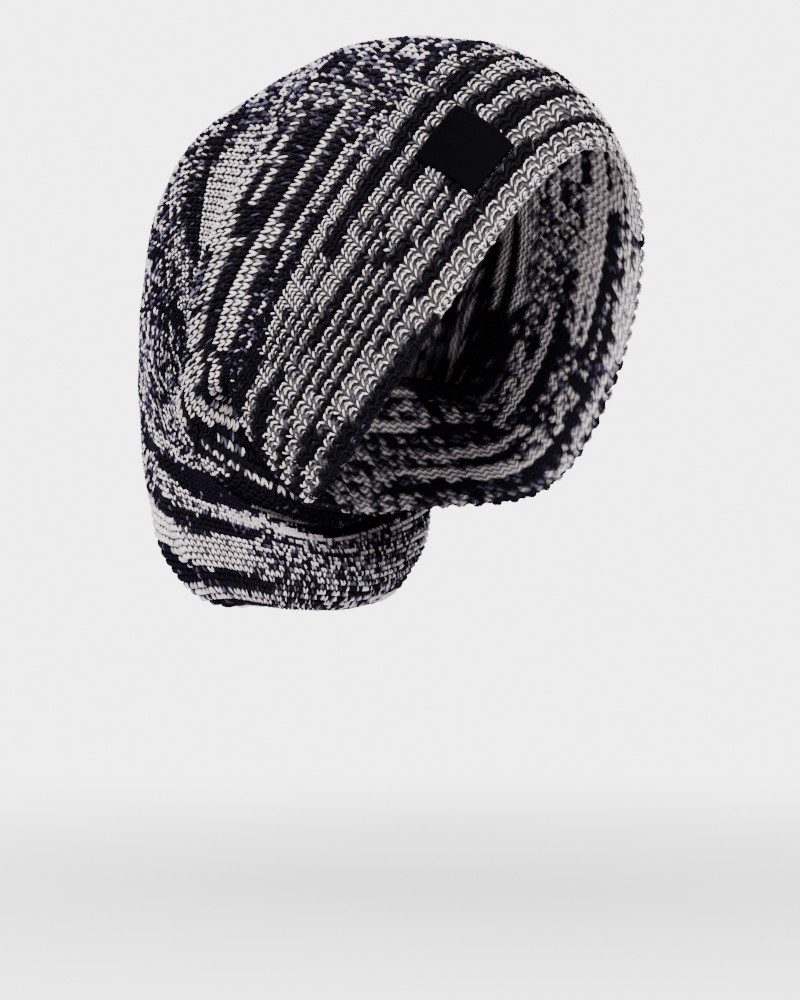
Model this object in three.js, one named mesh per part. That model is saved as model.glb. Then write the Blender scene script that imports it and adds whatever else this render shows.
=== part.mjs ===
// A slouchy knit cap in the form it takes when worn: a ribbed band round the head,
// a plain knit body that folds over behind the band and hangs as a bag behind the
// neck, and a woven label on the band. Millimetres, +Z up, the wearer looks along -Y,
// the wearer's right side is at -X. The origin is the middle of the rim opening.
import * as THREE from "three";

// Driving sizes
const HALF_WIDTH = 80; // head axis to the side of the cap
const HALF_DEPTH = 100; // reach of one unit of the table front to back
const HALF_HEIGHT = 100; // reach of one unit of the table up and down
const FABRIC_LENGTH = 357; // rim to closed end, measured along the side
const BAND_DEPTH = 70; // depth of the ribbed band at the side
const WALL = 3; // thickness of the knitted wall
const RIB_COUNT = 72; // knit ribs round the band
const RIB_RELIEF = 0.7; // how far a rib stands out of the band's middle level
const JOIN_GAP = 0.3; // clearance between neighbouring pieces
const LABEL_WIDTH = 29; // label, along the rim
const LABEL_DEPTH = 38; // label, rim to crown
const LABEL_THICKNESS = 0.9;
const LABEL_RISE = 34; // label's middle above the rim, measured as the band's depth is
const LABEL_TURN = 33; // degrees from the forehead round to the wearer's right
const OPENING_REAR = -0.15; // middle of the rim opening, share of HALF_DEPTH
const OPENING_RISE = -0.4; // middle of the rim opening, share of HALF_HEIGHT

// Mesh density
const BODY_COLUMNS = 48; // faces round the body
const BODY_ROWS = 38; // faces from the band to the closed end
const BAND_ROWS = 4; // faces from the rim to the body
const FACETS_PER_RIB = 2; // faces round the band for each rib
const LABEL_CELLS = 6; // faces along each side of the label

// The cap is a bent tube. Each row is one ring of knitting, which is a closed curve
// through four lines: the front (forehead over the top and down the back), the side,
// the rear quarter between side and nape, and the nape. Station is the share of
// FABRIC_LENGTH from the rim; x, y and z are shares of HALF_WIDTH, HALF_DEPTH and
// HALF_HEIGHT. Shoulder swells the ring between front and side, and temple shifts it
// there front to back.
const COLUMNS =
  "station frontY frontZ sideX sideY sideZ quarterX quarterY quarterZ napeY napeZ shoulder temple";
const RINGS = [
  // the band, on the head
  [0.0, -0.79, 0.36, 0.89, -0.03, -0.93, 0.68, 0.41, -1.16, 0.58, -1.2, 0, -0.03],
  [0.066, -0.63, 0.58, 0.95, 0.14, -0.76, 0.74, 0.56, -1.02, 0.7, -1.04, -0.01, -0.02],
  [0.131, -0.43, 0.72, 0.99, 0.31, -0.62, 0.8, 0.66, -0.86, 0.81, -0.86, -0.03, 0],
  [0.197, -0.19, 0.82, 0.99, 0.45, -0.49, 0.83, 0.73, -0.69, 0.89, -0.67, -0.04, 0],
  // the first fold: in behind the band, then out and down over the roll
  [0.23, -0.04, 0.86, 0.98, 0.53, -0.43, 0.78, 0.78, -0.61, 0.95, -0.56, -0.04, -0.02],
  [0.26, 0.11, 0.88, 1.0, 0.62, -0.38, 0.83, 0.85, -0.66, 1.03, -0.64, -0.02, -0.06],
  [0.289, 0.28, 0.9, 1.04, 0.73, -0.34, 0.89, 0.92, -0.76, 0.96, -0.95, 0.01, -0.12],
  [0.322, 0.47, 0.9, 1.06, 0.84, -0.33, 0.85, 1.0, -0.88, 0.78, -1.2, 0.05, -0.18],
  // the second fold: up under the roll and out again, where the rings fan out
  [0.364, 0.66, 0.88, 0.96, 0.9, -0.31, 0.75, 1.04, -0.97, 0.89, -1.22, 0.04, -0.2],
  [0.406, 0.84, 0.84, 0.84, 0.95, -0.27, 0.62, 1.07, -0.91, 1.01, -1.05, 0.05, -0.15],
  [0.448, 1.0, 0.77, 0.82, 1.0, -0.2, 0.58, 1.09, -0.8, 1.07, -0.92, 0.08, -0.07],
  [0.498, 1.14, 0.64, 0.89, 1.07, -0.18, 0.6, 1.13, -0.73, 1.11, -0.83, 0.12, 0],
  [0.557, 1.28, 0.41, 0.95, 1.14, -0.27, 0.66, 1.17, -0.73, 1.18, -0.84, 0.12, 0.02],
  [0.632, 1.4, 0.05, 0.96, 1.22, -0.45, 0.75, 1.17, -0.8, 1.19, -0.96, 0.09, 0],
  // the bag
  [0.716, 1.47, -0.39, 0.91, 1.29, -0.65, 0.84, 1.13, -0.91, 1.13, -1.11, 0.04, 0],
  [0.791, 1.48, -0.77, 0.9, 1.27, -0.92, 0.9, 1.04, -1.07, 0.99, -1.27, 0.03, 0],
  [0.858, 1.44, -1.1, 0.89, 1.2, -1.19, 0.9, 0.96, -1.25, 0.78, -1.4, 0.03, 0],
  [0.916, 1.36, -1.4, 0.79, 1.15, -1.46, 0.78, 0.95, -1.43, 0.68, -1.53, 0.03, 0],
  // the gathered end
  [0.967, 1.23, -1.59, 0.54, 1.08, -1.61, 0.51, 0.96, -1.59, 0.84, -1.63, 0.02, 0],
  [1.0, 1.07, -1.61, 0.15, 1.03, -1.6, 0.11, 1.0, -1.61, 0.98, -1.61, 0, 0],
];
const column = Object.fromEntries(COLUMNS.split(" ").map((name, i) => [name, i]));

// Shallow hollows and swellings of the soft cloth: where each lies (station, turn in
// degrees from the forehead, positive to the wearer's right), how far it spreads, and
// its depth as a share of HALF_WIDTH, inwards where negative.
const DENTS = [
  // station, turn, spread in station, spread in degrees, depth
  [0.5, -70, 0.07, 26, -0.05], // hollow over the wearer's left side
  [0.66, -140, 0.08, 24, -0.06], // hollow at the bag's left rear quarter
  [0.7, -95, 0.06, 18, 0.03], // swelling at the left side
  [0.72, 12, 0.07, 20, -0.03], // soft dip down the middle of the back
  [0.93, 100, 0.04, 16, -0.05], // dip beside the gather, right
  [0.93, -60, 0.04, 18, -0.05], // dip beside the gather, left
  [0.93, 150, 0.04, 20, 0.03], // full corner towards the neck
];

const QUARTER = (3 * Math.PI) / 4; // turn of the rear quarter line
const END = 1; // station of the closed end
const band = BAND_DEPTH / FABRIC_LENGTH; // station where the band ends

// One column of the table at a station, by a smooth cubic through its rows.
function along(station, name) {
  const k = column[name];
  const last = RINGS.length - 1;
  const i = Math.max(0, Math.min(last - 1, RINGS.findLastIndex((r) => r[0] <= station)));
  const slope = (a) => (RINGS[a + 1][k] - RINGS[a][k]) / (RINGS[a + 1][0] - RINGS[a][0]);
  const tangent = (a) => {
    if (a === 0) return slope(0);
    if (a === last) return slope(last - 1);
    const before = RINGS[a][0] - RINGS[a - 1][0];
    const after = RINGS[a + 1][0] - RINGS[a][0];
    return (slope(a - 1) * after + slope(a) * before) / (before + after);
  };
  const h = RINGS[i + 1][0] - RINGS[i][0];
  const t = (station - RINGS[i][0]) / h;
  const s = 1 - t;
  return (
    (1 + 2 * t) * s * s * RINGS[i][k] + t * s * s * h * tangent(i) +
    t * t * (3 - 2 * t) * RINGS[i + 1][k] - t * t * s * h * tangent(i + 1)
  );
}

// Weights of the front, side and nape lines at a turn round the ring.
function weights(turn) {
  const c = Math.cos(turn);
  return [(c * (1 + c)) / 2, 1 - c * c, (-c * (1 - c)) / 2];
}

// The middle of the knitted wall, before the dents.
function smoothPoint(turn, station) {
  const at = (name) => along(station, name);
  const [f, s, n] = weights(turn);
  const [qf, qs, qn] = weights(QUARTER);
  const bump = Math.sin(2 * turn) ** 2;
  const rear = Math.cos(turn) < 0 ? bump : 0;
  const fore = bump - rear;
  const line = (a, b, c, q) =>
    f * a + s * b + n * c + rear * (q - qf * a - qs * b - qn * c);
  const swell = fore * at("shoulder");
  const side = at("sideX");
  const x =
    side * Math.abs(Math.sin(turn)) + swell * side +
    rear * (at("quarterX") - side * Math.sin(QUARTER));
  const y =
    line(at("frontY"), at("sideY"), at("napeY"), at("quarterY")) +
    swell * SWELL_RISE * (at("frontY") - at("napeY")) + fore * at("temple");
  const z =
    line(at("frontZ"), at("sideZ"), at("napeZ"), at("quarterZ")) +
    swell * SWELL_RISE * (at("frontZ") - at("napeZ"));
  return new THREE.Vector3(
    -Math.sign(Math.sin(turn)) * x * HALF_WIDTH, y * HALF_DEPTH, z * HALF_HEIGHT,
  );
}
const SWELL_RISE = 0.35; // share of the shoulder's swelling that lifts it

const STEP = 1e-3; // share of a turn and of the fabric used to measure slopes
function slopes(turn, station) {
  const lo = Math.max(0, station - STEP);
  const hi = Math.min(END, station + STEP);
  const round = smoothPoint(turn + STEP, station).sub(smoothPoint(turn - STEP, station));
  const length = smoothPoint(turn, hi).sub(smoothPoint(turn, lo));
  return [round.divideScalar(2 * STEP), length.divideScalar(hi - lo)];
}

// Outward direction of the wall. The turn runs to -X, so length x round faces out.
function outward(turn, station) {
  const [round, length] = slopes(turn, station);
  return length.cross(round).normalize();
}

function dent(turn, station) {
  let depth = 0;
  for (const [s, degrees, spread, wide, amount] of DENTS) {
    const off = THREE.MathUtils.radToDeg(turn) - degrees;
    const round = off - 360 * Math.round(off / 360);
    depth += amount * Math.exp(-(((station - s) / spread) ** 2) - (round / wide) ** 2);
  }
  return depth * HALF_WIDTH;
}

// A point at a level above the middle of the wall.
function wallPoint(turn, station, level) {
  return smoothPoint(turn, station).addScaledVector(
    outward(turn, station), level + dent(turn, station),
  );
}

// Closed shells
// One closed geometry from its vertices and the triangles between them.
function solid(points, faces) {
  const geometry = new THREE.BufferGeometry();
  geometry.setAttribute(
    "position", new THREE.Float32BufferAttribute(points.flatMap((p) => p.toArray()), 3),
  );
  geometry.setIndex(faces);
  geometry.computeVertexNormals();
  return geometry;
}

// A tube wall from one station to another. The outer surface and the inner surface are
// grids of rings; the open ends are closed by strips between them, and a closed end by
// a fan to one middle point on each surface.
function tubeWall({ from, to, columns, rows, levelOut, levelIn, closed }) {
  const points = [];
  const faces = [];
  const vertex = (side, i, j) => (side * (rows + 1) + i) * columns + (j % columns);
  for (const level of [levelOut, levelIn])
    for (let i = 0; i <= rows; i++)
      for (let j = 0; j < columns; j++)
        points.push(
          wallPoint((2 * Math.PI * j) / columns, from + ((to - from) * i) / rows, level(j, i)),
        );
  for (let i = 0; i < rows; i++)
    for (let j = 0; j < columns; j++) {
      const [a, b, c, d] = [
        vertex(0, i, j), vertex(0, i, j + 1), vertex(0, i + 1, j + 1), vertex(0, i + 1, j),
      ];
      faces.push(a, c, b, a, d, c);
      const [e, f, g, h] = [
        vertex(1, i, j), vertex(1, i, j + 1), vertex(1, i + 1, j + 1), vertex(1, i + 1, j),
      ];
      faces.push(e, f, g, e, g, h);
    }
  for (let j = 0; j < columns; j++) {
    faces.push(vertex(0, 0, j), vertex(0, 0, j + 1), vertex(1, 0, j + 1));
    faces.push(vertex(0, 0, j), vertex(1, 0, j + 1), vertex(1, 0, j));
  }
  for (const side of closed ? [0, 1] : []) {
    const middle = new THREE.Vector3();
    for (let j = 0; j < columns; j++)
      middle.addScaledVector(points[vertex(side, rows, j)], 1 / columns);
    points.push(middle);
    const tip = points.length - 1;
    for (let j = 0; j < columns; j++) {
      const [a, b] = [vertex(side, rows, j), vertex(side, rows, j + 1)];
      faces.push(...(side ? [a, b, tip] : [b, a, tip]));
    }
  }
  for (let j = 0; j < (closed ? 0 : columns); j++) {
    faces.push(vertex(0, rows, j), vertex(1, rows, j + 1), vertex(0, rows, j + 1));
    faces.push(vertex(0, rows, j), vertex(1, rows, j), vertex(1, rows, j + 1));
  }
  return solid(points, faces);
}

// Rib band: knit ribs stand out, the purl grooves between them lie back
const half = WALL / 2;
const bandGeometry = tubeWall({
  from: 0,
  to: band,
  columns: RIB_COUNT * FACETS_PER_RIB,
  rows: BAND_ROWS,
  levelOut: (j) => half + (j % FACETS_PER_RIB ? -RIB_RELIEF : RIB_RELIEF),
  levelIn: (j) => -half + (j % FACETS_PER_RIB ? -RIB_RELIEF : RIB_RELIEF),
  closed: false,
});

// Body: plain knit, from the band to the gathered end
const bodyGeometry = tubeWall({
  from: band + JOIN_GAP / FABRIC_LENGTH,
  to: END,
  columns: BODY_COLUMNS,
  rows: BODY_ROWS,
  levelOut: () => half,
  levelIn: () => -half,
  closed: true,
});

// Label: a thin woven sheet that lies on the ribs
function labelSheet() {
  const turn = THREE.MathUtils.degToRad(LABEL_TURN);
  const station = LABEL_RISE / FABRIC_LENGTH;
  const [round, length] = slopes(turn, station);
  const across = round.clone().normalize();
  const up = across.clone().cross(outward(turn, station)).negate();
  const [rr, rl, ll] = [round.dot(round), round.dot(length), length.dot(length)];
  const det = rr * ll - rl * rl;
  const bottom = half + RIB_RELIEF + JOIN_GAP;
  const points = [];
  const faces = [];
  const n = LABEL_CELLS;
  const vertex = (side, i, j) => (side * (n + 1) + i) * (n + 1) + j;
  for (const level of [bottom, bottom + LABEL_THICKNESS])
    for (let i = 0; i <= n; i++)
      for (let j = 0; j <= n; j++) {
        const reach = across.clone().multiplyScalar((i / n - 1 / 2) * LABEL_WIDTH)
          .addScaledVector(up, (j / n - 1 / 2) * LABEL_DEPTH);
        const [r, l] = [reach.dot(round), reach.dot(length)];
        points.push(
          wallPoint(turn + (r * ll - l * rl) / det, station + (l * rr - r * rl) / det, level),
        );
      }
  const quad = (a, b, c, d) => faces.push(a, c, b, a, d, c);
  for (let i = 0; i < n; i++)
    for (let j = 0; j < n; j++) {
      quad(vertex(1, i, j), vertex(1, i, j + 1), vertex(1, i + 1, j + 1), vertex(1, i + 1, j));
      quad(vertex(0, i, j), vertex(0, i + 1, j), vertex(0, i + 1, j + 1), vertex(0, i, j + 1));
    }
  for (let k = 0; k < n; k++) {
    quad(vertex(0, k, 0), vertex(1, k, 0), vertex(1, k + 1, 0), vertex(0, k + 1, 0));
    quad(vertex(0, k, n), vertex(0, k + 1, n), vertex(1, k + 1, n), vertex(1, k, n));
    quad(vertex(0, 0, k), vertex(0, 0, k + 1), vertex(1, 0, k + 1), vertex(1, 0, k));
    quad(vertex(0, n, k), vertex(1, n, k), vertex(1, n, k + 1), vertex(0, n, k + 1));
  }
  return solid(points, faces);
}

// Materials and scene
const knit = (color) => new THREE.MeshStandardMaterial({ color, roughness: 0.95, metalness: 0 });
const cap = new THREE.Group();
function place(name, geometry, material) {
  const mesh = new THREE.Mesh(geometry, material);
  mesh.name = name;
  mesh.position.set(0, -OPENING_REAR * HALF_DEPTH, -OPENING_RISE * HALF_HEIGHT);
  cap.add(mesh);
}
place("rib_band", bandGeometry, knit(0x6f6c72));
place("slouch_body", bodyGeometry, knit(0x5d5a62));
place("label", labelSheet(), new THREE.MeshStandardMaterial({
  color: 0x0c0c10, roughness: 0.8, metalness: 0,
}));

export default cap;
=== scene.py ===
import bpy
import numpy as np
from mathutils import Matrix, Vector


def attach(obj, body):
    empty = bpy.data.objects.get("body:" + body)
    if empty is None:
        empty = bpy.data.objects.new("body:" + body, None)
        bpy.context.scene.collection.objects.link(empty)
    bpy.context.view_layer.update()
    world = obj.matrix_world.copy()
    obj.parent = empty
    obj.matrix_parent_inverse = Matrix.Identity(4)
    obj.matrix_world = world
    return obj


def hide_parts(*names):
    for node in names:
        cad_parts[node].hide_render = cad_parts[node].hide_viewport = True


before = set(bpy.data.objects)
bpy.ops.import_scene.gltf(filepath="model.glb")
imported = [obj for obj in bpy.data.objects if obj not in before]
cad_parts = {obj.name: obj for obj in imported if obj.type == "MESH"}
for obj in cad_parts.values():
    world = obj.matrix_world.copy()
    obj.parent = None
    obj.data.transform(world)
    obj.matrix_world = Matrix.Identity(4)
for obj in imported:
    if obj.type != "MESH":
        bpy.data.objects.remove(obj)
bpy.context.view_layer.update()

# Rib band, the cloth behind the stitches: a knitted tube round the head, 1 by 1 rib,
# thrown off the machine in one with the body. The whole cap is one bent tube of
# rings, so the band's section holds the shape that the body's sections use too.
HALF = np.array([0.080, 0.100, 0.100])    # width, depth and height of one table unit
FABRIC_LENGTH = 0.357                     # rim to closed end, measured along the side
BAND_DEPTH = 0.070
WALL = 0.003                              # knitted wall
RIB_RELIEF = 0.0007                       # a rib stands this far out of the middle level
RIM_CENTRE = np.array([0.0, 0.015, 0.040])
BAND_COURSES, BODY_COURSES = 21, 96
RIB_WALES = 144                           # 72 knit ribs and the 72 purl grooves between
BAND_END = BAND_DEPTH / FABRIC_LENGTH
LAST_COURSE = BAND_COURSES + BODY_COURSES

# One row is one ring: station, frontY, frontZ, sideX, sideY, sideZ, quarterX,
# quarterY, quarterZ, napeY, napeZ, shoulder, temple.
RINGS = np.array([
    # on the head
    [0.0, -0.79, 0.36, 0.89, -0.03, -0.93, 0.68, 0.41, -1.16, 0.58, -1.2, 0, -0.03],
    [0.066, -0.63, 0.58, 0.95, 0.14, -0.76, 0.74, 0.56, -1.02, 0.7, -1.04, -0.01, -0.02],
    [0.131, -0.43, 0.72, 0.99, 0.31, -0.62, 0.8, 0.66, -0.86, 0.81, -0.86, -0.03, 0],
    [0.197, -0.19, 0.82, 0.99, 0.45, -0.49, 0.83, 0.73, -0.69, 0.89, -0.67, -0.04, 0],
    # in behind the band, then out and down over the roll
    [0.23, -0.04, 0.86, 0.98, 0.53, -0.43, 0.78, 0.78, -0.61, 0.95, -0.56, -0.04, -0.02],
    [0.26, 0.11, 0.88, 1.0, 0.62, -0.38, 0.83, 0.85, -0.66, 1.03, -0.64, -0.02, -0.06],
    [0.289, 0.28, 0.9, 1.04, 0.73, -0.34, 0.89, 0.92, -0.76, 0.96, -0.95, 0.01, -0.12],
    [0.322, 0.47, 0.9, 1.06, 0.84, -0.33, 0.85, 1.0, -0.88, 0.78, -1.2, 0.05, -0.18],
    # up under the roll and out again, where the rings fan out
    [0.364, 0.66, 0.88, 0.96, 0.9, -0.31, 0.75, 1.04, -0.97, 0.89, -1.22, 0.04, -0.2],
    [0.406, 0.84, 0.84, 0.84, 0.95, -0.27, 0.62, 1.07, -0.91, 1.01, -1.05, 0.05, -0.15],
    [0.448, 1.0, 0.77, 0.82, 1.0, -0.2, 0.58, 1.09, -0.8, 1.07, -0.92, 0.08, -0.07],
    [0.498, 1.14, 0.64, 0.89, 1.07, -0.18, 0.6, 1.13, -0.73, 1.11, -0.83, 0.12, 0],
    [0.557, 1.28, 0.41, 0.95, 1.14, -0.27, 0.66, 1.17, -0.73, 1.18, -0.84, 0.12, 0.02],
    [0.632, 1.4, 0.05, 0.96, 1.22, -0.45, 0.75, 1.17, -0.8, 1.19, -0.96, 0.09, 0],
    # the bag behind the neck
    [0.716, 1.47, -0.39, 0.91, 1.29, -0.65, 0.84, 1.13, -0.91, 1.13, -1.11, 0.04, 0],
    [0.791, 1.48, -0.77, 0.9, 1.27, -0.92, 0.9, 1.04, -1.07, 0.99, -1.27, 0.03, 0],
    [0.858, 1.44, -1.1, 0.89, 1.2, -1.19, 0.9, 0.96, -1.25, 0.78, -1.4, 0.03, 0],
    [0.916, 1.36, -1.4, 0.79, 1.15, -1.46, 0.78, 0.95, -1.43, 0.68, -1.53, 0.03, 0],
    # the gathered end
    [0.967, 1.23, -1.59, 0.54, 1.08, -1.61, 0.51, 0.96, -1.59, 0.84, -1.63, 0.02, 0],
    [1.0, 1.07, -1.61, 0.15, 1.03, -1.6, 0.11, 1.0, -1.61, 0.98, -1.61, 0, 0],
])

# Soft dents: station, turn in degrees, spread of each, depth as a share of the half width.
DENTS = np.array([
    [0.5, -70, 0.07, 26, -0.05],
    [0.66, -140, 0.08, 24, -0.06],
    [0.7, -95, 0.06, 18, 0.03],
    [0.72, 12, 0.07, 20, -0.03],
    [0.93, 100, 0.04, 16, -0.05],
    [0.93, -60, 0.04, 18, -0.05],
    [0.93, 150, 0.04, 20, 0.03],
])


def ring_columns(station):
    """The table's columns at a station: a cubic between two rows that takes, at each
    row, the mean of the slopes on its two sides, each weighted by the other's length."""
    at, value = RINGS[:, 0], RINGS[:, 1:]
    step = np.diff(at)
    slope = np.diff(value, axis=0) / step[:, None]
    inner = slope[:-1] * step[1:, None] + slope[1:] * step[:-1, None]
    inner /= (step[:-1] + step[1:])[:, None]
    tangent = np.vstack([slope[:1], inner, slope[-1:]])
    i = np.clip(np.searchsorted(at, station, side="right") - 1, 0, len(step) - 1)
    t = ((station - at[i]) / step[i])[..., None]
    s, h = 1 - t, step[i][..., None]
    return ((1 + 2 * t) * s * s * value[i] + t * s * s * h * tangent[i]
            + t * t * (3 - 2 * t) * value[i + 1] - t * t * s * h * tangent[i + 1])


def wall_middle(turn, station):
    """Middle of the wall before the dents. With c the cosine of the turn, the front,
    side and nape lines weigh c(1+c)/2, 1-c*c and -c(1-c)/2. The square of the sine of
    twice the turn adds the rear quarter line behind and the shoulder in front."""
    turn, station = np.broadcast_arrays(turn, station)
    (front_y, front_z, side_x, side_y, side_z, quarter_x, quarter_y, quarter_z,
     nape_y, nape_z, shoulder, temple) = np.moveaxis(ring_columns(station), -1, 0)

    def weights(angle):
        c = np.cos(angle)
        return c * (1 + c) / 2, 1 - c * c, -c * (1 - c) / 2

    bump = np.sin(2 * turn) ** 2
    rear = np.where(np.cos(turn) < 0, bump, 0)
    fore = bump - rear
    here, there = weights(turn), weights(0.75 * np.pi)

    def line(front, side, nape, quarter):
        three = (front, side, nape)
        return (sum(w * v for w, v in zip(here, three))
                + rear * (quarter - sum(w * v for w, v in zip(there, three))))

    swell = fore * shoulder
    x = (side_x * np.abs(np.sin(turn)) + swell * side_x
         + rear * (quarter_x - side_x * np.sin(0.75 * np.pi)))
    y = (line(front_y, side_y, nape_y, quarter_y)
         + swell * 0.35 * (front_y - nape_y) + fore * temple)
    z = line(front_z, side_z, nape_z, quarter_z) + swell * 0.35 * (front_z - nape_z)
    return np.stack([-np.sign(np.sin(turn)) * x, y, z], -1) * HALF


UNEVENNESS = 0.0004                       # of hand-worn knitting


def wall_point(turn, station, level):
    """The middle of the wall, moved along its outward direction (the slope along the
    cloth crossed with the slope round it) by a level and by the sum of the dents, each
    a bell in station and turn, plus a slow unevenness: a product of two sines."""
    turn, station = np.broadcast_arrays(turn, station)
    e = 1e-3
    low, high = np.maximum(0, station - e), np.minimum(1, station + e)
    length = wall_middle(turn, high) - wall_middle(turn, low)
    around = wall_middle(turn + e, station) - wall_middle(turn - e, station)
    outward = np.cross(length, around)
    outward /= np.linalg.norm(outward, axis=-1, keepdims=True) + 1e-12
    sink = np.zeros(turn.shape)
    for at, degrees, spread, wide, depth in DENTS:
        off = (np.degrees(turn) - degrees + 180) % 360 - 180
        sink += depth * HALF[0] * np.exp(-((station - at) / spread) ** 2 - (off / wide) ** 2)
    sink += UNEVENNESS * np.sin(5 * turn + 31 * station) * np.sin(47 * station - 3 * turn)
    return wall_middle(turn, station) + outward * (level + sink)[..., None] + RIM_CENTRE


def course_station(course):
    """Station of a course: the band's courses share its depth, the body's the rest."""
    c = np.clip(course, 0, LAST_COURSE)
    return np.where(c < BAND_COURSES, c / BAND_COURSES * BAND_END,
                    BAND_END + (c - BAND_COURSES) / BODY_COURSES * (1 - BAND_END))


def even_turns(station, shares):
    """Turn at each share of the way round, so that stitches are equally wide: the
    girth is measured along 720 short chords of the ring and read backwards."""
    fine = np.linspace(0, 2 * np.pi, 721)
    turns = np.empty((len(station), len(shares)))
    rings = wall_middle(fine[None], station[:, None])
    run = np.linalg.norm(np.diff(rings, axis=1), axis=-1).cumsum(axis=1)
    run = np.hstack([np.zeros((len(station), 1)), run])
    for row in range(len(station)):
        once_round = np.interp(shares % 1, run[row] / run[row, -1], fine)
        turns[row] = once_round + 2 * np.pi * (shares // 1)
    return turns


def speckle(*numbers):
    """A steady random number from 0 to 1 for whole numbers, from their sine's tail."""
    factors = (12.9898, 78.233, 37.719)
    mixed = sum(k * np.asarray(n, float) for k, n in zip(factors, numbers))
    return (np.sin(mixed) * 43758.5453) % 1


# The yarn is space dyed: long runs of black and of natural cream, with short lavender
# grey ends between them, make stripes that start, end and drift. Each stripe is a kind
# and its knots: degrees of turn, first course, last course. K is black, C cream, G grey,
# M salt and pepper, m mostly black, L mostly cream. A later stripe covers an earlier one.
STRIPES = """
K -40/0/24 160/0/24
C -40/0/1 57/0/1
C -40/1.1/3 63/1/3
C 60/2/3 84/2/3
C 62/3.2/4.1 75/3.2/4.6 90/3/4.4 100/2.3/4.2 110/1/3.6 118/0/2.6 126/-1/1.6
C -40/4.2/7 10/4/7 25/4.8/7.5 45/5.4/7.4 56/5/7 63/5/6
C 60/5/6 97/5/6
C 44/7.6/8.6 60/7.2/8.2 70/7/8 80/7.1/8.3 90/7.1/8.8 100/6.6/8.6 110/5.2/7.2 118/4.2/6 126/3.5/5
C -40/8/10.5 5/8.8/10.8 15/9.3/11.8 25/10/12.4 40/9.8/13 52/9.8/12.9 56/9.9/11
C 55/9.1/10 95/9.1/10
C 55/11.9/12.9 62/11.4/12.4 88/11.3/12.3
G 82/11.5/13.8 90/11.4/13.9
C 87/11.4/13.9 92/11.3/13.8 100/10.4/13.3 110/9/11.9 118/7.8/10 126/7/9
C 43/14.3/15.3 60/14.1/15.1 75/13.7/14.7 88/13.5/14.5
C -40/13/15.5 5/13.3/16.5 15/14.2/17.2 25/15/17.4 33/16.7/18.3 44/15.9/18.4 55/15.7/17.8 66/15.4/17.5 76/15.9/17.1 96/16.1/17.1
C 62/18.1/19.1 70/18/19.7 80/17.9/19.5 90/17.6/19.3 100/17/18.9 110/15.4/18 118/14/17 126/13/15.5
C 61/19.4/20.3 78/19.4/20.3
L -40/18/21 10/18.8/22.5 20/20/23.3 36/20.6/23.8
m 38/20.6/21.6 62/20.6/21.6
C 34/21.4/23.9 60/21.4/24 70/20.8/23.4 80/20.4/22.5 88/20.2/21.2
M -40/24/98 160/24/98
m -40/24/25 20/23.4/24.6 45/24/26
K 42/24/34 60/24/34 104/22/33 118/22/28 150/22/30
C 40/26.2/27.9 60/26.2/27.9 66/26.1/27.6
M 62/26/27.4 72/25.9/27 77/25.5/26.6 85/24.6/25.8 95/23.8/25.4 106/22.8/24.6 114/22/24
m 38/28.5/29.5 52/28.5/29.5
m 84/25.8/27.4 104/25/27.4
C 38/30/31 60/29.9/31 70/29.5/31 80/28.6/31.2 90/27.5/30.8 100/27.4/30.6
K 42/31.2/33.9 60/31.1/32.9 75/31.1/32.7 97/31/33.3
C 44/33.9/35 55/33.4/34.6 62/32.8/33.7 75/32.7/33.7
K 50/35/36 60/33.8/34.8 68/33.6/34.6
C 56/35/38 62/34.7/38 68/34.4/38 72/33.3/38 77/32.9/38
C 76/33/34.4 84/33/34.4
K 77/34.4/44 82/34.4/44
G 82/34.4/44 88/34.6/44
L 88/33.3/36 101/32.8/36
C 98/33.2/34.4 105/31.8/33 110/30.8/31.8 119/30.6/31.6
C 102/29.2/30.6 110/28.1/30 120/28.2/29.8 128/28.9/29.9
K 148/26/46 205/26/46
C 104/33.5/35 110/32.8/34.8 118/31.6/34 128/31/33.6 138/30.6/32.9 146/30.2/31.6 152/30/31
K 112/30.2/31 122/29.9/31.1 135/29.6/30.8
K 116/34/35.3 128/33.6/35.3 150/31.9/35.3
L 141/33.6/34.6 153/32.4/33.4
C 117/35.2/44 126/35.3/44 131/36/44
K 130/35.3/44 205/35/44
L 139/35/36 170/35/36
C 135/38/44 140/37/40 145/36.2/38
C 48/47.4/49.6 58/47.2/52 66/47/53.2 72/47.5/53 78/50/53
K 36/50.8/52.4 50/52.3/54 58/53/54.6 65/53/55.2 72/53/55.6 78/52.4/55.5 86/50/54
M 50/54/60 70/55.4/60
L 69/56/58.4 78/55.6/58.8 82/54.4/58.6 88/54.6/58 96/55.5/57.6
m 84/59.3/60.5 92/58.5/63.5 100/57/63.6 112/53/62
m 72/62.5/66 76/63.5/70 86/63.5/70 95/62.5/68
L 116/85.5/88 125/85.4/88.8 136/85/88
K 84/88.2/91.8 95/88/91.5 108/87.8/90.4 120/89.4/91.8 130/88.6/95 140/87.5/95.2 150/85.5/94 162/82/92
L 116/92/97.5 124/92.4/97.4 132/94.5/98.4 142/95/98 152/94.2/97.6 162/93/97
K 90/97.2/100 118/97.6/100.4 128/97.8/101.2 135/98.4/101.8 142/98.3/101.4 150/98/100.8 162/97.4/100.4
C 60/99/103 80/99.5/104 95/100/106 120/100.6/106 130/101.9/107.6 140/101.6/107.5 152/100.9/106.8
L 148/100.9/106.8 157/100.5/106.5
M 153/97/114 205/97/114
m 155/99.6/101 180/99.6/101
K 60/103.4/108.6 85/104/108.6 95/106.4/109 110/107.2/109.7 122/107.6/109.8 140/108/110.2 154/107.5/109.5
M 150/107/110.5 166/106/110.5
L 60/108.8/112.2 154/110/112.2
K 60/112.2/114 154/112.2/114
"""
KINDS = "KCGMmL"
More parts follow.
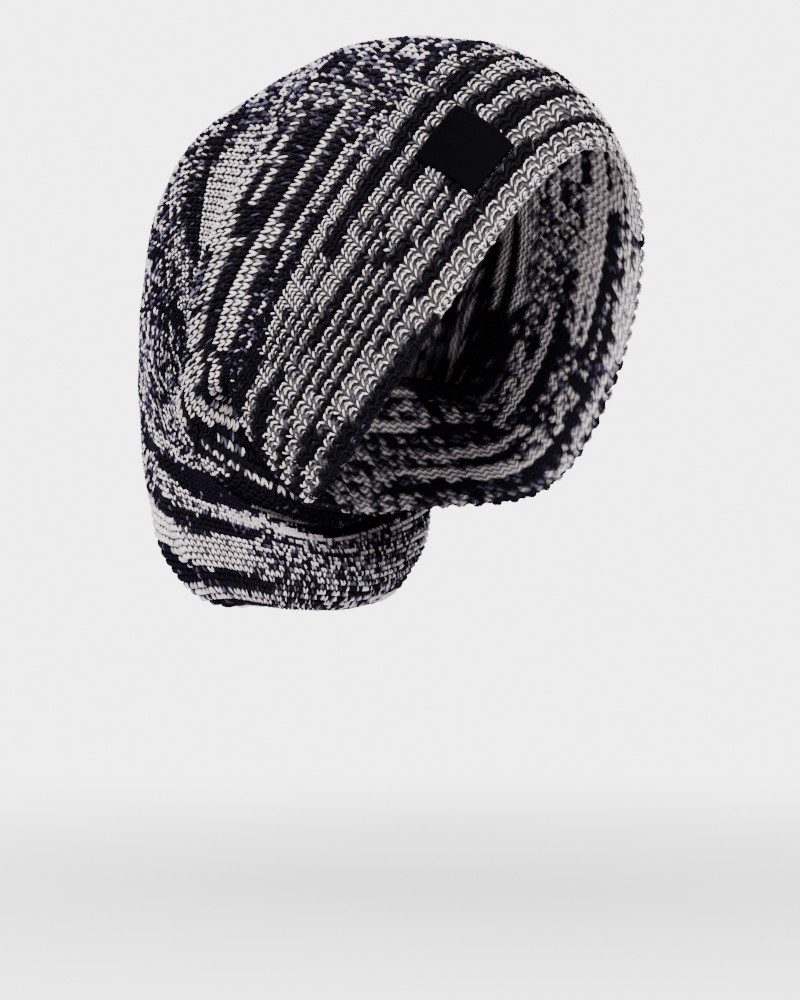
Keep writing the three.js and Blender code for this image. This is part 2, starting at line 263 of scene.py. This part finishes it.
# Tone from black at 0 over lavender at a half to cream at 1. A mottled kind takes its
# cut from the noise and multiplies the rest by its contrast.
BLACK, CREAM, LAVENDER = np.array([
    [0.0040, 0.0026, 0.0092], [0.885, 0.762, 0.785], [0.12, 0.104, 0.188]])
MOTTLE = {"G": (0.2 / 1.5, 1.5), "M": (0.43, 3.6), "m": (0.62, 4.0), "L": (0.18, 4.0)}
SEEN_FROM = -40                           # degrees, where the stripes in view begin
FAR_COURSES, FAR_DEGREES = 2.4, 38        # size of a run on the far side
FAR_SHARES = {"K": 0.32, "C": 0.58, "M": 0.88}     # of its runs, added up; the rest m
RAGGED_DEGREES = 7                        # a stripe's two ends differ by so much
WANDER_COURSES, WANDER_STEPS = 0.5, 30    # and its edges by this, in steps round the cap


def dye(course, share, degrees, strand):
    """Colour of each leg of yarn. The stripes say what the side in view shows, with
    edges that wander from course to course. The far side takes runs of two or three
    courses by chance. Salt and pepper is a threshold on noise that changes from leg to
    leg and, less, from stitch to stitch."""
    course, share, degrees, strand = np.broadcast_arrays(course, share, degrees, strand)
    turn = (degrees - SEEN_FROM) % 360 + SEEN_FROM
    shifted = turn + 30 * speckle(course, 8)
    draw = speckle(np.floor(course / FAR_COURSES), np.floor(shifted / FAR_DEGREES), 6)
    kind = np.select([draw < share_to for share_to in FAR_SHARES.values()],
                     [KINDS.index(letter) for letter in FAR_SHARES], KINDS.index("m"))
    ragged = turn + RAGGED_DEGREES * (speckle(course, 3) - 0.5)
    for number, stripe in enumerate(STRIPES.strip().splitlines()):
        letter, *knots = stripe.split()
        at, first, last = np.array([[float(n) for n in knot.split("/")] for knot in knots]).T
        edge = speckle(np.floor(share * WANDER_STEPS), number, 5) - 0.5
        edge = WANDER_COURSES * edge - 0.5
        inside = course > np.interp(turn, at, first) + edge
        inside &= course < np.interp(turn, at, last) + edge
        inside &= (ragged > at[0]) & (ragged < at[-1])
        kind = np.where(inside, KINDS.index(letter), kind)
    along = share * 120 + course * 0.37
    short = speckle(np.floor(along / 1.2), course, 1)
    single = speckle(np.floor(share * 613), course, strand)
    mix = 0.35 * short + 0.65 * single
    # Black and cream runs have a few legs of another tone.
    tones = {"K": np.where(single > 0.985, 0.5, np.where(single > 0.94, 0.2, 0.0)),
             "C": np.where(single < 0.03, 0.3, np.where(single < 0.08, 0.7, 1.0))}
    for letter, (cut, contrast) in MOTTLE.items():
        tones[letter] = np.clip((mix - cut) * contrast, 0, 1)
    tone = np.select([kind == KINDS.index(letter) for letter in tones],
                     list(tones.values()))[..., None]
    colour = np.where(tone < 0.5, BLACK + (LAVENDER - BLACK) * tone * 2,
                      LAVENDER + (CREAM - LAVENDER) * (tone * 2 - 1))
    shade = 0.84 + 0.30 * speckle(course, np.floor(share * 977), strand)
    return colour * shade[..., None]


def put_mesh(name, points, groups, uv=None, colour=None, smooth=True):
    """One object from arrays: points, groups of faces with equally many corners, UVs
    for each corner and a colour for each point."""
    mesh = bpy.data.meshes.new(name)
    points = np.ascontiguousarray(points, dtype=np.float32).reshape(-1, 3)
    corners = np.concatenate([group.ravel() for group in groups]).astype(np.int32)
    sizes = np.concatenate([np.full(len(group), group.shape[1]) for group in groups])
    mesh.vertices.add(len(points))
    mesh.vertices.foreach_set("co", points.ravel())
    mesh.loops.add(len(corners))
    mesh.loops.foreach_set("vertex_index", corners)
    mesh.polygons.add(len(sizes))
    mesh.polygons.foreach_set("loop_start", (np.cumsum(sizes) - sizes).astype(np.int32))
    mesh.polygons.foreach_set("use_smooth", np.full(len(sizes), smooth))
    mesh.update(calc_edges=True)
    if uv is not None:
        layer = mesh.uv_layers.new(name="knit")
        layer.data.foreach_set("uv", np.ascontiguousarray(uv, dtype=np.float32).ravel())
    if colour is not None:
        rgba = np.ones((len(points), 4), dtype=np.float32)
        rgba[:, :3] = colour.reshape(-1, 3)
        layer = mesh.color_attributes.new("dye", "FLOAT_COLOR", "POINT")
        layer.data.foreach_set("color", rgba.ravel())
    mesh.validate()
    piece = bpy.data.objects.new(name, mesh)
    bpy.context.collection.objects.link(piece)
    return piece


BED_LIGHT, BACK_LIGHT = 0.08, 0.72        # light on the cloth between stitches, and inside
END_DRAWN_IN = 0.985                      # share by which the last rings are drawn in


def cloth_wall(name, courses, cols, outside, inside, closed):
    """A closed wall between two levels: a grid of courses and columns outside, the same
    inside, and strips that join them at the open ends. A closed end gets two caps."""
    rows = len(courses)
    station = course_station(courses)
    shares = np.arange(cols + 1) / cols
    turn = even_turns(station, shares)[:, :-1]
    levels = np.stack([np.broadcast_to(outside(shares[:-1]), turn.shape),
                       np.broadcast_to(inside(shares[:-1]), turn.shape)])
    points = wall_point(turn[None], station[None, :, None], levels).reshape(-1, 3)
    tint = dye(np.floor(courses)[:, None], shares[None, :-1], np.degrees(turn), 9)
    i, j = np.meshgrid(np.arange(rows - 1), np.arange(cols), indexing="ij")
    k = (j + 1) % cols
    outer = np.stack([i * cols + j, (i + 1) * cols + j, (i + 1) * cols + k, i * cols + k], -1)
    outer = outer.reshape(-1, 4)
    across = np.stack([j, j, j + 1, j + 1], -1).reshape(-1, 4) * (RIB_WALES / cols)
    along = courses[np.stack([i, i + 1, i + 1, i], -1)].reshape(-1, 4)
    uv = np.stack([across, along], -1)
    j, n, top = np.arange(cols), rows * cols, (rows - 1) * cols
    k = (j + 1) % cols
    rim = np.stack([j, k, n + k, n + j], -1)
    groups = [np.vstack([outer, outer[:, ::-1] + n, rim])]
    if closed:
        # The last rings are drawn in to a small hole each, and capped.
        for side in (0, n):
            ring = points[side + top:side + top + cols]
            ring += (ring.mean(0) - ring) * END_DRAWN_IN
        groups.append(np.stack([top + j[::-1], n + top + j]))
    else:
        end = np.stack([top + j, n + top + j, n + top + k, top + k], -1)
        groups[0] = np.vstack([groups[0], end])
    plain = sum(group.size for group in groups) - 2 * outer.size
    uv = np.concatenate([uv.reshape(-1, 2), uv[:, ::-1].reshape(-1, 2), np.zeros((plain, 2))])
    colour = np.concatenate([tint.reshape(-1, 3) * BED_LIGHT, tint.reshape(-1, 3) * BACK_LIGHT])
    return put_mesh(name, points, groups, uv, colour)


def rib_level(share):
    """Height of the rib over the band's middle level: a cosine, ribs up, grooves down."""
    return RIB_RELIEF * np.cos(np.pi * share * RIB_WALES)


def cloth_material(name):
    """Back of plain knitting: rows of small interlocked bumps, which are a sine along
    the course bent by a sine across the wale, over fine fibre noise."""
    material = bpy.data.materials.new(name)
    material.use_nodes = True
    nodes, links = material.node_tree.nodes, material.node_tree.links
    shader = nodes["Principled BSDF"]
    shader.inputs["Roughness"].default_value = 0.92
    shader.inputs["Specular IOR Level"].default_value = 0.1
    dyed = nodes.new("ShaderNodeVertexColor")
    dyed.layer_name = "dye"
    uv = nodes.new("ShaderNodeUVMap")
    uv.uv_map = "knit"
    split = nodes.new("ShaderNodeSeparateXYZ")
    links.new(uv.outputs["UV"], split.inputs[0])

    def formula(operation, first, second=None):
        node = nodes.new("ShaderNodeMath")
        node.operation = operation
        for socket, value in zip(node.inputs, (first, second)):
            if isinstance(value, (int, float)):
                socket.default_value = value
            elif value is not None:
                links.new(value, socket)
        return node.outputs[0]

    across = formula("SINE", formula("MULTIPLY", split.outputs["X"], 2 * np.pi))
    bent = formula("ADD", formula("MULTIPLY", split.outputs["Y"], 2 * np.pi),
                   formula("MULTIPLY", across, 1.25))
    rows = formula("SINE", bent)
    place = nodes.new("ShaderNodeTexCoord")
    fibre = nodes.new("ShaderNodeTexNoise")
    fibre.inputs["Scale"].default_value = 1400
    fibre.inputs["Detail"].default_value = 3
    links.new(place.outputs["Object"], fibre.inputs["Vector"])
    height = formula("ADD", formula("MULTIPLY", rows, 0.5),
                     formula("MULTIPLY", fibre.outputs["Fac"], 0.35))
    bump = nodes.new("ShaderNodeBump")
    bump.inputs["Strength"].default_value = 1.0
    bump.inputs["Distance"].default_value = 0.0011
    links.new(height, bump.inputs["Height"])
    links.new(bump.outputs["Normal"], shader.inputs["Normal"])
    # Painted shade: the dyed colour is multiplied down to 0.45 in the hollows between the rows of
    # bumps.
    hollow_shade = nodes.new("ShaderNodeMapRange")
    hollow_shade.inputs["From Min"].default_value = -1
    hollow_shade.inputs["From Max"].default_value = 0.6
    hollow_shade.inputs["To Min"].default_value = 0.45
    links.new(rows, hollow_shade.inputs["Value"])
    tint = nodes.new("ShaderNodeMix")
    tint.data_type, tint.blend_type = "RGBA", "MULTIPLY"
    tint.inputs["Factor"].default_value = 1
    links.new(dyed.outputs["Color"], tint.inputs["A"])
    links.new(hollow_shade.outputs["Result"], tint.inputs["B"])
    links.new(tint.outputs["Result"], shader.inputs["Base Color"])
    return material


BED = WALL / 2 - 0.0014                   # level of the cloth between the stitches
cloth = cloth_material("knit_back")
band_cloth = cloth_wall(
    "rib_band_cloth", np.linspace(0, BAND_COURSES, 2 * BAND_COURSES + 1), 2 * RIB_WALES,
    lambda share: BED + rib_level(share), lambda share: -WALL / 2 + rib_level(share), False)
band_cloth.data.materials.append(cloth)
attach(band_cloth, "root")
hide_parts("rib_band")

# Rib stitches: hemp and cotton yarn of two plies. A knit stitch shows two slanting
# leaves, a purl stitch in the groove shows a bowed bar and a short one under it.
YARN_LIFT = WALL / 2 - 0.0005             # level of the middle of the yarn
WALE_MM, COURSE_MM = 4.0, 3.0             # a stitch, for the strands' headings and widths
END_SWELL, MIDDLE_SWELL = 0.86, 1.0       # share of the width at a strand's rings


def strand(path, width, thickness):
    """One visible leg of yarn as a closed spindle of 24 triangles. The path has five
    rows (across, along, lift): two tips and three rings of four points, which stand
    width to each side and thickness above and below. Across and along count stitches
    and courses, lift and thickness metres."""
    path = np.array(path, float)
    heading = np.gradient(path[:, :2] * (WALE_MM, COURSE_MM), axis=0)
    heading /= np.linalg.norm(heading, axis=1, keepdims=True)
    sideways = np.stack([heading[:, 1] / WALE_MM, -heading[:, 0] / COURSE_MM], -1)
    points = [path[0]]
    for row, swell in zip((1, 2, 3), (END_SWELL, MIDDLE_SWELL, END_SWELL)):
        across = np.append(sideways[row] * width * WALE_MM * swell, 0)
        points += [path[row] + across, path[row] + (0, 0, thickness * swell),
                   path[row] - across, path[row] - (0, 0, thickness * swell)]
    points.append(path[4])
    faces = [(0, 1 + (q + 1) % 4, 1 + q) for q in range(4)]
    for ring in (1, 5):
        for q in range(4):
            a, b, c, d = ring + q, ring + (q + 1) % 4, ring + 4 + (q + 1) % 4, ring + 4 + q
            faces += [(a, b, c), (a, c, d)]
    faces += [(13, 9 + q, 9 + (q + 1) % 4) for q in range(4)]
    lengths = np.array([0] + [0.2] * 4 + [0.5] * 4 + [0.8] * 4 + [1])
    rounds = np.array([0.5] + [0, 0.25, 0.5, 0.75] * 3 + [0.5])
    faces = np.array(faces)
    turn = rounds[faces]
    wrap = (turn.max(1) - turn.min(1)) > 0.6
    turn = np.where(wrap[:, None] & (turn < 0.1), 1.0, turn)
    return np.array(points), faces, np.stack([lengths[faces], turn], -1)


def mirror(path):
    """The same path on the other side of the stitch."""
    return [(-across, along, lift) for across, along, lift in path]


# Share of the light that reaches a leg of yarn sunk between its neighbours: at a tip,
# and on one flank, the top, the other flank and the under side of each ring.
TIP, END_RING, MIDDLE_RING = [0.22], [0.50, 0.92, 0.50, 0.12], [0.62, 1.0, 0.62, 0.14]
CREVICE = np.array(TIP + END_RING + MIDDLE_RING + END_RING + TIP)
SLIP_ACROSS, SLIP_ALONG, UNLIKE = 0.07, 0.11, 0.17     # how much stitches differ
ROUGHNESS = (0.07, 0.08, 0.00022)                      # how much a strand's points do


def lay_strands(shape, course, wale, wales, number):
    """Copies of one strand, all at once: each is set in the corner made by its own
    stitch width, its own course height and the outward direction of the cloth there."""
    template, faces, uv = shape
    course, wale = [a.ravel() for a in np.meshgrid(course, wale, indexing="ij")]
    rows = np.unique(course)
    shares = (np.arange(2 * wales + 3) - 1) / (2 * wales)
    spots, turns = [], even_turns(course_station(rows + 0.5), shares)
    for shift in (-0.5, 0, 0.5):
        station = course_station(rows + 0.5 + shift)
        turn = even_turns(station, shares)
        level = np.full(turn.shape, YARN_LIFT)
        if rows[0] < BAND_COURSES:
            level += rib_level(shares)
        spots.append(wall_point(turn, station[:, None], level))
    before, here, after = spots
    row = np.searchsorted(rows, course)
    col = (2 * wale + 2).astype(int)
    middle = here[row, col]
    across = here[row, col + 1] - here[row, col - 1]
    along = after[row, col] - before[row, col]
    outward = np.cross(along, across)
    outward /= np.linalg.norm(outward, axis=1, keepdims=True) + 1e-12
    loose = [speckle(course, wale, number + k) - 0.5 for k in (11, 12, 13)]
    middle = (middle + across * (SLIP_ACROSS * loose[0])[:, None]
              + along * (SLIP_ALONG * loose[1])[:, None])
    size = 1 + UNLIKE * loose[2]
    seeds = number + 20 + np.arange(len(template))[None]
    rough = np.stack([speckle(course[:, None], wale[:, None], seeds + 17 * k)
                      for k in range(3)], -1) - 0.5
    scale = np.stack([size, np.ones_like(size), size], -1)
    form = template[None] * scale[:, None] + rough * ROUGHNESS
    copies = (middle[:, None] + form[..., :1] * across[:, None]
              + form[..., 1:2] * along[:, None] + form[..., 2:] * outward[:, None])
    colour = dye(course, (wale + 0.5) / wales, np.degrees(turns[row, col]), number)
    colour = colour[:, None] * CREVICE[None, :, None]
    index = faces[None] + (np.arange(len(middle)) * len(template))[:, None, None]
    corner = np.broadcast_to(uv[None], (len(middle),) + uv.shape)
    corner = corner + loose[0][:, None, None, None] * 3
    return copies.reshape(-1, 3), index.reshape(-1, 3), corner.reshape(-1, 2), colour.reshape(-1, 3)


def knit_piece(name, layers, material):
    """One object from several layers of strands, put end to end."""
    count = np.cumsum([0] + [len(points) for points, *_ in layers[:-1]])
    piece = put_mesh(
        name, np.vstack([layer[0] for layer in layers]),
        [np.vstack([layer[1] + start for layer, start in zip(layers, count)])],
        np.vstack([layer[2] for layer in layers]), np.vstack([layer[3] for layer in layers]))
    piece.data.materials.append(material)
    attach(piece, "root")
    return piece


def yarn_material(name):
    """Two-ply yarn: the ply lines are a sine of length plus turn round the strand,
    over fibre noise, with the soft sheen of loose fibre ends."""
    material = bpy.data.materials.new(name)
    material.use_nodes = True
    nodes, links = material.node_tree.nodes, material.node_tree.links
    shader = nodes["Principled BSDF"]
    shader.inputs["Roughness"].default_value = 0.8
    shader.inputs["Specular IOR Level"].default_value = 0.04
    shader.inputs["Sheen Weight"].default_value = 0.02
    shader.inputs["Sheen Roughness"].default_value = 0.4
    dyed = nodes.new("ShaderNodeVertexColor")
    dyed.layer_name = "dye"
    uv = nodes.new("ShaderNodeUVMap")
    uv.uv_map = "knit"
    plies = nodes.new("ShaderNodeTexWave")
    plies.wave_type, plies.bands_direction = "BANDS", "DIAGONAL"
    plies.inputs["Scale"].default_value = 1.0
    plies.inputs["Distortion"].default_value = 0.6
    plies.inputs["Detail"].default_value = 1
    links.new(uv.outputs["UV"], plies.inputs["Vector"])
    place = nodes.new("ShaderNodeTexCoord")
    fibre = nodes.new("ShaderNodeTexNoise")
    fibre.inputs["Scale"].default_value = 2600
    fibre.inputs["Detail"].default_value = 2
    links.new(place.outputs["Object"], fibre.inputs["Vector"])
    both = nodes.new("ShaderNodeMath")
    both.operation = "MULTIPLY_ADD"
    both.inputs[1].default_value = 0.6
    links.new(plies.outputs["Fac"], both.inputs[0])
    links.new(fibre.outputs["Fac"], both.inputs[2])
    bump = nodes.new("ShaderNodeBump")
    bump.inputs["Strength"].default_value = 0.55
    bump.inputs["Distance"].default_value = 0.0004
    links.new(both.outputs[0], bump.inputs["Height"])
    links.new(bump.outputs["Normal"], shader.inputs["Normal"])
    patch = nodes.new("ShaderNodeTexNoise")
    patch.inputs["Scale"].default_value = 420
    links.new(place.outputs["Object"], patch.inputs["Vector"])
    worn = nodes.new("ShaderNodeMapRange")
    worn.inputs["From Min"].default_value = 0.3
    worn.inputs["From Max"].default_value = 0.7
    worn.inputs["To Min"].default_value = 0.82
    worn.inputs["To Max"].default_value = 1.1
    links.new(patch.outputs["Fac"], worn.inputs["Value"])
    tint = nodes.new("ShaderNodeMix")
    tint.data_type, tint.blend_type = "RGBA", "MULTIPLY"
    tint.inputs["Factor"].default_value = 1
    links.new(dyed.outputs["Color"], tint.inputs["A"])
    links.new(worn.outputs["Result"], tint.inputs["B"])
    links.new(tint.outputs["Result"], shader.inputs["Base Color"])
    return material


yarn = yarn_material("hemp_yarn")
knit_ribs = np.arange(0, RIB_WALES, 2) - 0.5
purl_grooves = np.arange(1, RIB_WALES, 2) - 0.5
rib_courses = np.arange(BAND_COURSES + 3)       # the ribs run on a little past the fold
rib_leg = [(-0.62, 0.47, -0.0004), (-0.50, 0.26, 0.0002), (-0.35, 0.0, 0.0005),
           (-0.20, -0.27, 0.0002), (-0.05, -0.55, -0.0006)]
purl_bow = [(-0.60, 0.04, -0.0005), (-0.34, 0.30, 0.0003), (0.0, 0.40, 0.0006),
            (0.34, 0.30, 0.0003), (0.60, 0.04, -0.0005)]
purl_bar = [(-0.30, -0.36, -0.0006), (-0.15, -0.27, -0.0001), (0.0, -0.24, 0.0),
            (0.15, -0.27, -0.0001), (0.30, -0.36, -0.0006)]
left_leg, right_leg = (strand(path, width=0.125, thickness=0.0007)
                       for path in (rib_leg, mirror(rib_leg)))
bow = strand(purl_bow, width=0.115, thickness=0.00065)
bar = strand(purl_bar, width=0.06, thickness=0.00045)
knit_piece("rib_stitches", [
    lay_strands(left_leg, rib_courses, knit_ribs, RIB_WALES, 1),
    lay_strands(right_leg, rib_courses, knit_ribs, RIB_WALES, 2),
    lay_strands(bow, rib_courses, purl_grooves, RIB_WALES, 3),
    lay_strands(bar, rib_courses, purl_grooves, RIB_WALES, 4),
], yarn)

# Rim edge: the cast-on row, a fine chain of slanting loops that rolls slightly in.
edge_loop = [(-0.45, -0.30, -0.0009), (-0.22, -0.05, -0.0001), (0.02, 0.06, 0.0003),
             (0.26, -0.02, 0.0), (0.48, -0.34, -0.0009)]
edge_under = [(-0.40, -0.52, -0.0022), (-0.18, -0.58, -0.0012), (0.05, -0.55, -0.0006),
              (0.25, -0.42, -0.0006), (0.45, -0.22, -0.0012)]
edge_wales = np.arange(RIB_WALES) - 0.5
knit_piece("rim_edge", [
    lay_strands(strand(path, width=0.13, thickness=0.0006), [0], edge_wales, RIB_WALES, number)
    for path, number in ((edge_loop, 5), (edge_under, 6))
], yarn)

# Body cloth: the same tube carried on in plain knitting, folded in behind the band,
# over the roll and down into the bag, and drawn together at the end.
BODY_WALES = 144
body_cloth = cloth_wall(
    "body_cloth", np.arange(BAND_COURSES, LAST_COURSE + 1.0), BODY_WALES,
    lambda share: BED, lambda share: -WALL / 2, True)
body_cloth.data.materials.append(cloth)
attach(body_cloth, "root")
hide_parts("slouch_body")

# Plain stitches: each shows two leaves that meet in a point towards the closed end.
# The last rows have fewer, because they are drawn together. One row is a piece, its
# first course, the course after its last, and its wales.
plain_leg = [(-0.49, -0.56, -0.0006), (-0.42, -0.28, 0.0002), (-0.30, 0.02, 0.0005),
             (-0.18, 0.32, 0.0002), (-0.05, 0.62, -0.0006)]
plain_leaves = [strand(path, width=0.185, thickness=0.0009)
                for path in (plain_leg, mirror(plain_leg))]
for name, first, after, wales in [
    ("roll_stitches", 24, 35, BODY_WALES),
    ("fold_stitches", 35, 49, BODY_WALES),
    ("back_stitches", 49, 65, BODY_WALES),
    ("bag_stitches", 65, 81, BODY_WALES),
    ("bag_end_stitches", 81, 98, BODY_WALES),
    ("bag_floor_stitches", 98, 111, BODY_WALES),
    ("gather_stitches", 111, 114, 96),
    ("gather_end_stitches", 114, LAST_COURSE, 48),
]:
    all_wales = np.arange(wales) - 0.5
    knit_piece(name, [
        lay_strands(leaf, np.arange(first, after), all_wales, wales, number)
        for number, leaf in enumerate(plain_leaves, 7)
    ], yarn)

# Label: a small black woven square, folded under at two ends and sewn to the ribs.
LABEL_WIDTH, LABEL_DEPTH, LABEL_THICKNESS = 0.029, 0.038, 0.0009
LABEL_RISE, LABEL_TURN = 0.034, np.radians(33)
LABEL_LEVEL = WALL / 2 + RIB_RELIEF + 0.0003          # on top of the ribs' yarn
HEM_FROM, HEM_STEP, HEM_THICKNESS = 0.84, 0.04, 0.00012    # from, over: shares of a half
EDGE_FROM, EDGE_DROP = 0.93, 0.0003                   # rounding of the sheet's edge
LABEL_CELLS = 36


def label_sheet(name):
    """A flat sheet carried onto the band: width and depth are measured along the
    cloth from the label's middle, turned into turn and station by the slopes there.
    The level follows the soft ribs under it, and the hems at two ends are thicker."""
    turn0, station0, e = LABEL_TURN, LABEL_RISE / FABRIC_LENGTH, 1e-3
    cells = LABEL_CELLS
    around = (wall_middle(turn0 + e, station0) - wall_middle(turn0 - e, station0)) / (2 * e)
    length = (wall_middle(turn0, station0 + e) - wall_middle(turn0, station0 - e)) / (2 * e)
    across = around / np.linalg.norm(around)
    outward = np.cross(length, around)
    outward /= np.linalg.norm(outward)
    up = -np.cross(across, outward)
    slopes = np.stack([around, length])
    metric = np.linalg.inv(slopes @ slopes.T)
    halves = np.linspace(-0.5, 0.5, cells + 1)
    a, b = np.meshgrid(halves, halves, indexing="ij")
    reach = a[..., None] * LABEL_WIDTH * across + b[..., None] * LABEL_DEPTH * up
    steps = reach @ slopes.T @ metric
    turn, station = turn0 + steps[..., 0], station0 + steps[..., 1]
    edge = np.maximum(np.abs(a), np.abs(b)) * 2
    hem = np.clip((np.abs(a) * 2 - HEM_FROM) / HEM_STEP, 0, 1) * HEM_THICKNESS
    rounding = -EDGE_DROP * np.clip((edge - EDGE_FROM) / (1 - EDGE_FROM), 0, 1) ** 2
    sag = 0.0001 * np.cos(turn * RIB_WALES / 2) + 0.00012 * np.sin(5 * a + 3 * b)
    level = LABEL_LEVEL + LABEL_THICKNESS + hem + rounding + sag
    top = wall_point(turn, station, level).reshape(-1, 3)
    bottom = wall_point(turn, station, LABEL_LEVEL).reshape(-1, 3)
    n = cells + 1
    i, j = np.meshgrid(np.arange(cells), np.arange(cells), indexing="ij")
    corner = i * n + j
    upper = np.stack([corner, corner + 1, corner + n + 1, corner + n], -1).reshape(-1, 4)
    k, m = np.arange(cells), n * n
    first, last = k * n, k * n + cells          # points along the sheet's four edges
    low, high = k, cells * n + k
    faces = np.vstack([
        upper, upper[:, ::-1] + m,
        np.stack([first, first + n, first + n + m, first + m], -1),
        np.stack([last + n, last, last + m, last + n + m], -1),
        np.stack([low + 1, low, low + m, low + 1 + m], -1),
        np.stack([high, high + 1, high + 1 + m, high + m], -1),
    ])
    flat = np.concatenate([np.stack([a, b], -1).reshape(-1, 2)] * 2) + 0.5
    uv = flat[faces] * (LABEL_WIDTH * 1000, LABEL_DEPTH * 1000)
    return put_mesh(name, np.concatenate([top, bottom]), [faces], uv)


def satin_material(name):
    """Fine black woven ribbon: crossing threads, four to the millimetre."""
    material = bpy.data.materials.new(name)
    material.use_nodes = True
    nodes, links = material.node_tree.nodes, material.node_tree.links
    shader = nodes["Principled BSDF"]
    shader.inputs["Base Color"].default_value = (0.0006, 0.0005, 0.0012, 1)
    shader.inputs["Roughness"].default_value = 0.6
    shader.inputs["Specular IOR Level"].default_value = 0.015
    uv = nodes.new("ShaderNodeUVMap")
    uv.uv_map = "knit"
    heights = []
    for direction, scale in (("X", 0.62), ("Y", 0.5)):
        wave = nodes.new("ShaderNodeTexWave")
        wave.bands_direction = direction
        wave.inputs["Scale"].default_value = scale
        wave.inputs["Distortion"].default_value = 0.2
        links.new(uv.outputs["UV"], wave.inputs["Vector"])
        heights.append(wave.outputs["Fac"])
    both = nodes.new("ShaderNodeMath")
    both.operation = "MULTIPLY"
    links.new(heights[0], both.inputs[0])
    links.new(heights[1], both.inputs[1])
    bump = nodes.new("ShaderNodeBump")
    bump.inputs["Strength"].default_value = 0.5
    bump.inputs["Distance"].default_value = 0.00012
    links.new(both.outputs[0], bump.inputs["Height"])
    links.new(bump.outputs["Normal"], shader.inputs["Normal"])
    return material


label = label_sheet("label_ribbon")
label.data.materials.append(satin_material("label_ribbon"))
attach(label, "root")
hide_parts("label")

# Floor: a plain pale studio floor under the cap. It grows transparent from the middle
# outwards, so that it has no edge against the bright room.
FLOOR_LEVEL, FLOOR_RADIUS, FLOOR_SIDES = -0.246, 0.85, 96
FADE_FROM, FADE_TO = 0.12, 0.80           # distances from the middle
spread = np.linspace(0, 2 * np.pi, FLOOR_SIDES + 1)[:-1]
disc = np.stack([FLOOR_RADIUS * np.cos(spread), FLOOR_RADIUS * np.sin(spread),
                 np.full(FLOOR_SIDES, FLOOR_LEVEL)], -1)
side = np.arange(FLOOR_SIDES)
fan = np.stack([side, (side + 1) % FLOOR_SIDES, np.full(FLOOR_SIDES, FLOOR_SIDES)], -1)
floor = put_mesh("studio_floor", np.vstack([disc, [[0, 0, FLOOR_LEVEL]]]), [fan], smooth=False)
pale = bpy.data.materials.new("pale_floor")
pale.use_nodes = True
nodes, links = pale.node_tree.nodes, pale.node_tree.links
spot, round_off = nodes.new("ShaderNodeTexCoord"), nodes.new("ShaderNodeVectorMath")
round_off.operation = "LENGTH"
links.new(spot.outputs["Object"], round_off.inputs[0])
fade = nodes.new("ShaderNodeMapRange")
fade.interpolation_type = "SMOOTHSTEP"
fade.inputs["From Min"].default_value = FADE_FROM
fade.inputs["From Max"].default_value = FADE_TO
fade.inputs["To Min"].default_value = 1.0
fade.inputs["To Max"].default_value = 0.0
links.new(round_off.outputs["Value"], fade.inputs["Value"])
shader = nodes["Principled BSDF"]
links.new(fade.outputs["Result"], shader.inputs["Alpha"])
shader.inputs["Base Color"].default_value = (0.82, 0.82, 0.83, 1)
shader.inputs["Emission Color"].default_value = (0.9, 0.9, 0.92, 1)
shader.inputs["Emission Strength"].default_value = 0.8
shader.inputs["Roughness"].default_value = 0.45
floor.data.materials.append(pale)

# Studio light: a large soft lamp in front on the wearer's right, weaker ones above and
# in front, and a pale room round them, which the camera sees brighter than it lights.
for name, place, aim, size, power in [
    ("key", (-1.5, -0.8, 0.75), (0, 0.03, 0.0), 0.6, 98),
    ("top", (0.1, 0.2, 1.5), (0, 0.03, 0.0), 1.0, 17),
    ("front", (0.6, -1.7, 0.5), (0, 0.0, 0.0), 0.8, 10),
]:
    lamp = bpy.data.lights.new(name, "AREA")
    lamp.size, lamp.energy = size, power
    holder = bpy.data.objects.new(name, lamp)
    bpy.context.collection.objects.link(holder)
    holder.location = place
    holder.rotation_euler = (Vector(aim) - Vector(place)).to_track_quat("-Z", "Y").to_euler()
room = bpy.data.worlds.new("room")
room.use_nodes = True
nodes, links = room.node_tree.nodes, room.node_tree.links
glow = nodes["Background"]
glow.inputs["Color"].default_value = (0.93, 0.94, 0.96, 1)
glow.inputs["Strength"].default_value = 0.42
backdrop = nodes.new("ShaderNodeBackground")
backdrop.inputs["Color"].default_value = (0.96, 0.96, 0.97, 1)
backdrop.inputs["Strength"].default_value = 5.0
seen, choose = nodes.new("ShaderNodeLightPath"), nodes.new("ShaderNodeMixShader")
links.new(seen.outputs["Is Camera Ray"], choose.inputs[0])
links.new(glow.outputs[0], choose.inputs[1])
links.new(backdrop.outputs[0], choose.inputs[2])
links.new(choose.outputs[0], nodes["World Output"].inputs["Surface"])
bpy.context.scene.world = room

# Camera: level, from the front on the wearer's right.
CAMERA_PLACE = Vector((-1.2223, -1.1668, -0.0745))
CAMERA_AIM = Vector((-0.0203, 0.0353, -0.0745))
camera_data = bpy.data.cameras.new("camera")
camera_data.sensor_width, camera_data.lens = 36, 138.9
camera = bpy.data.objects.new("camera", camera_data)
bpy.context.collection.objects.link(camera)
camera.location = CAMERA_PLACE
camera.rotation_euler = (CAMERA_AIM - CAMERA_PLACE).to_track_quat("-Z", "Y").to_euler()
bpy.context.scene.camera = camera
